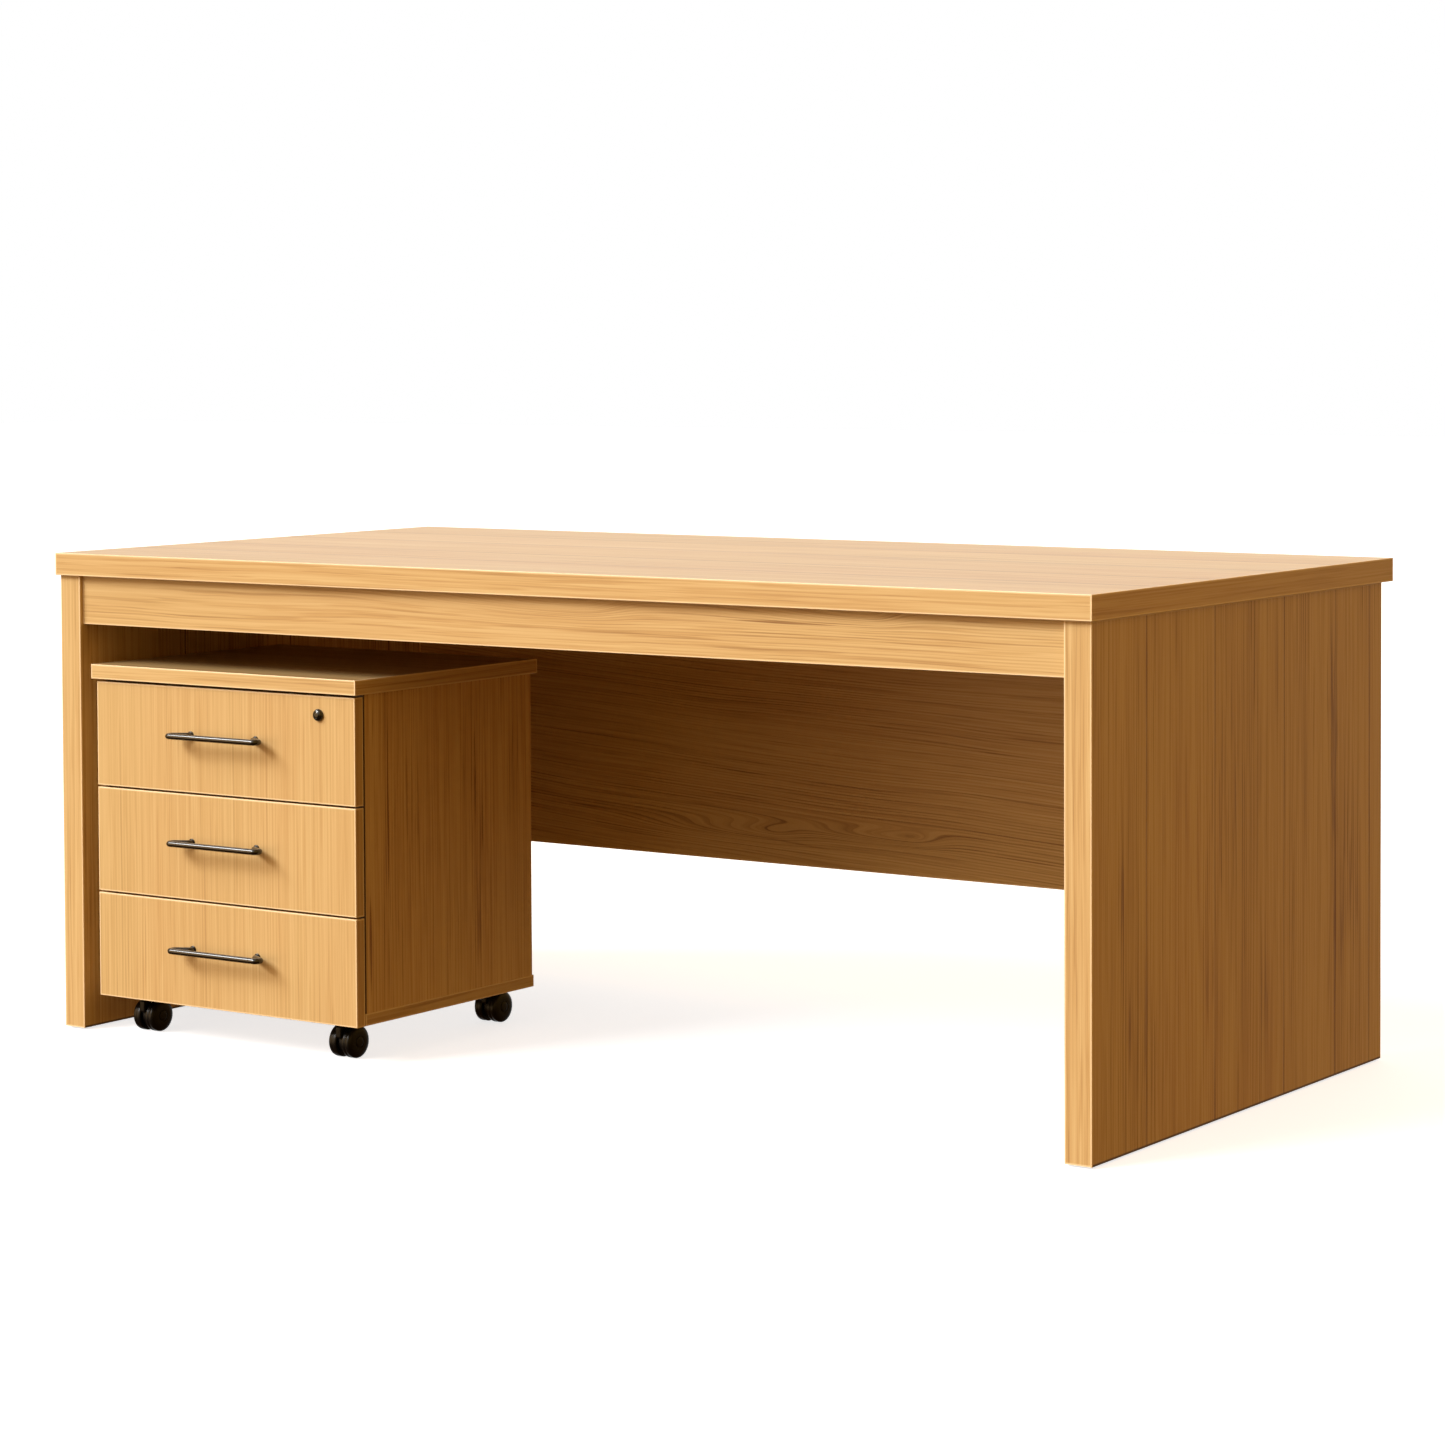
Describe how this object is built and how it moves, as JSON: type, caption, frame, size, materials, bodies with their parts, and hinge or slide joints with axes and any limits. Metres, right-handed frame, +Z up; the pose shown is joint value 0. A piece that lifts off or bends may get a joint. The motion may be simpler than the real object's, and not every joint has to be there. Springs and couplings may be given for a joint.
{
  "type": "teacher desk with mobile pedestal",
  "caption": "Rectangular wood-look desk with panel legs and modesty panel, and a rolling drawer pedestal with bar handles and a lock.",
  "frame": {"origin": "on the floor, at the bottom centre of the whole object's box", "axes": "+X to the sitter's right along the desk, +Y away from the sitter towards the modesty panel, +Z up"},
  "size_m": [1.8, 0.9194, 0.73],
  "materials": {
    "wood_panel": "satin light beech wood-look board with straight grain",
    "wood_edge_band": "satin edge strip matched to the board",
    "drawer_box_board": "matt pale drawer board",
    "drawer_base_board": "matt thin fibreboard",
    "handle_black": "gloss black nickel bar",
    "lock_black": "gloss black",
    "zinc_steel": "bright zinc plate",
    "runner_steel": "zinc-plated rolled sheet",
    "caster_plastic": "fine textured black nylon",
    "caster_wheel": "semi-gloss black nylon",
    "glide_plastic": "dark brown plastic",
    "dowel_wood": "plain beech"
  },
  "bodies": {
    "desk": {"desk_cam_bolts": "zinc_steel", "desk_cams": "zinc_steel", "desk_dowels": "dowel_wood", "desk_glides": "glide_plastic", "desktop": "wood_panel", "desktop_edge_bands": "wood_edge_band", "front_apron": "wood_panel", "left_leg_panel": "wood_panel", "leg_edge_bands": "wood_edge_band", "modesty_panel": "wood_panel", "right_leg_panel": "wood_panel"},
    "pedestal": {"pedestal_back": "wood_panel", "pedestal_bottom": "wood_panel", "pedestal_cam_bolts": "zinc_steel", "pedestal_cams": "zinc_steel", "pedestal_dowels": "dowel_wood", "pedestal_left_side": "wood_panel", "pedestal_right_side": "wood_panel", "pedestal_top": "wood_panel", "pedestal_top_edge_bands": "wood_edge_band", "cabinet_runners": "runner_steel", "cabinet_runner_screws": "zinc_steel", "caster_plates": "zinc_steel", "caster_screws": "zinc_steel"},
    "drawer_bottom": {"drawer_bottom_base": "drawer_base_board", "drawer_bottom_ends": "drawer_box_board", "drawer_bottom_front": "wood_panel", "drawer_bottom_handle": "handle_black", "drawer_bottom_runners": "runner_steel", "drawer_bottom_screws": "zinc_steel", "drawer_bottom_sides": "drawer_box_board"},
    "drawer_middle": {"drawer_middle_base": "drawer_base_board", "drawer_middle_ends": "drawer_box_board", "drawer_middle_front": "wood_panel", "drawer_middle_handle": "handle_black", "drawer_middle_runners": "runner_steel", "drawer_middle_screws": "zinc_steel", "drawer_middle_sides": "drawer_box_board"},
    "drawer_top": {"drawer_top_base": "drawer_base_board", "drawer_top_ends": "drawer_box_board", "drawer_top_front": "wood_panel", "drawer_top_handle": "handle_black", "drawer_top_runners": "runner_steel", "drawer_top_screws": "zinc_steel", "drawer_top_sides": "drawer_box_board", "lock_housing": "lock_black"},
    "lock": {"lock_plug": "zinc_steel", "lock_cam": "zinc_steel"},
    "caster_front_left_swivel": {"caster_front_left_fork": "caster_plastic", "caster_front_left_axle": "zinc_steel"},
    "caster_front_left_wheels": {"caster_front_left_wheels": "caster_wheel"},
    "caster_rear_left_swivel": {"caster_rear_left_fork": "caster_plastic", "caster_rear_left_axle": "zinc_steel"},
    "caster_rear_left_wheels": {"caster_rear_left_wheels": "caster_wheel"},
    "caster_front_right_swivel": {"caster_front_right_fork": "caster_plastic", "caster_front_right_axle": "zinc_steel"},
    "caster_front_right_wheels": {"caster_front_right_wheels": "caster_wheel"},
    "caster_rear_right_swivel": {"caster_rear_right_fork": "caster_plastic", "caster_rear_right_axle": "zinc_steel"},
    "caster_rear_right_wheels": {"caster_rear_right_wheels": "caster_wheel"}
  },
  "joints": [
    {"name": "pedestal_roll", "type": "slide", "parent": "desk", "child": "pedestal", "axis": [0, -1, 0], "range_m": [0, 0.6]},
    {"name": "drawer_bottom_slide", "type": "slide", "parent": "pedestal", "child": "drawer_bottom", "axis": [0, -1, 0], "range_m": [0, 0.26]},
    {"name": "drawer_middle_slide", "type": "slide", "parent": "pedestal", "child": "drawer_middle", "axis": [0, -1, 0], "range_m": [0, 0.26]},
    {"name": "drawer_top_slide", "type": "slide", "parent": "pedestal", "child": "drawer_top", "axis": [0, -1, 0], "range_m": [0, 0.26]},
    {"name": "lock_turn", "type": "hinge", "parent": "drawer_top", "child": "lock", "pos_m": [-0.386, -0.42725, 0.508], "axis": [0, 1, 0], "range_deg": [0, 90]},
    {"name": "caster_front_left_swivel", "type": "hinge", "parent": "pedestal", "child": "caster_front_left_swivel", "pos_m": [-0.768, -0.38925, 0.045], "axis": [0, 0, 1], "continuous": true},
    {"name": "caster_front_left_roll", "type": "hinge", "parent": "caster_front_left_swivel", "child": "caster_front_left_wheels", "pos_m": [-0.768, -0.37525, 0.024], "axis": [1, 0, 0], "continuous": true},
    {"name": "caster_rear_left_swivel", "type": "hinge", "parent": "pedestal", "child": "caster_rear_left_swivel", "pos_m": [-0.768, -0.04525, 0.045], "axis": [0, 0, 1], "continuous": true},
    {"name": "caster_rear_left_roll", "type": "hinge", "parent": "caster_rear_left_swivel", "child": "caster_rear_left_wheels", "pos_m": [-0.768, -0.03125, 0.024], "axis": [1, 0, 0], "continuous": true},
    {"name": "caster_front_right_swivel", "type": "hinge", "parent": "pedestal", "child": "caster_front_right_swivel", "pos_m": [-0.378, -0.38925, 0.045], "axis": [0, 0, 1], "continuous": true},
    {"name": "caster_front_right_roll", "type": "hinge", "parent": "caster_front_right_swivel", "child": "caster_front_right_wheels", "pos_m": [-0.378, -0.37525, 0.024], "axis": [1, 0, 0], "continuous": true},
    {"name": "caster_rear_right_swivel", "type": "hinge", "parent": "pedestal", "child": "caster_rear_right_swivel", "pos_m": [-0.378, -0.04525, 0.045], "axis": [0, 0, 1], "continuous": true},
    {"name": "caster_rear_right_roll", "type": "hinge", "parent": "caster_rear_right_swivel", "child": "caster_rear_right_wheels", "pos_m": [-0.378, -0.03125, 0.024], "axis": [1, 0, 0], "continuous": true}
  ]
}
